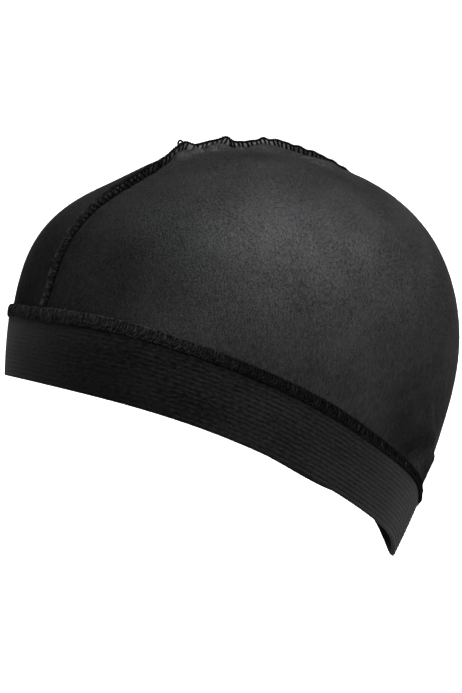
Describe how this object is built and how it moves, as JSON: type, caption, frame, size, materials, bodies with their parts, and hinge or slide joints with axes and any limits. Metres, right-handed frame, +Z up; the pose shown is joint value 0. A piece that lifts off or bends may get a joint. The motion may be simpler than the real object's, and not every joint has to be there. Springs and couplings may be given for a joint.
{
  "type": "wave cap",
  "caption": "Close-fitting stretch cap: a satin spandex dome with a raised overlocked centre seam on a wide ribbed elastic band.",
  "frame": {"origin": "middle of the wearer's head inside the cap, where the stretched cap is held", "axes": "+Z up, the wearer faces -Y, the wearer's left is +X"},
  "size_m": [0.1599, 0.2016, 0.1841],
  "materials": {
    "spandex": "satin stretch knit, charcoal black",
    "overlock": "matte overlock threads, black",
    "elastic": "matte ribbed woven elastic, black"
  },
  "bodies": {
    "root": {"crown_left": "spandex", "crown_right": "spandex", "crown_seam": "overlock", "elastic_band": "elastic", "band_seam": "overlock"}
  },
  "joints": []
}
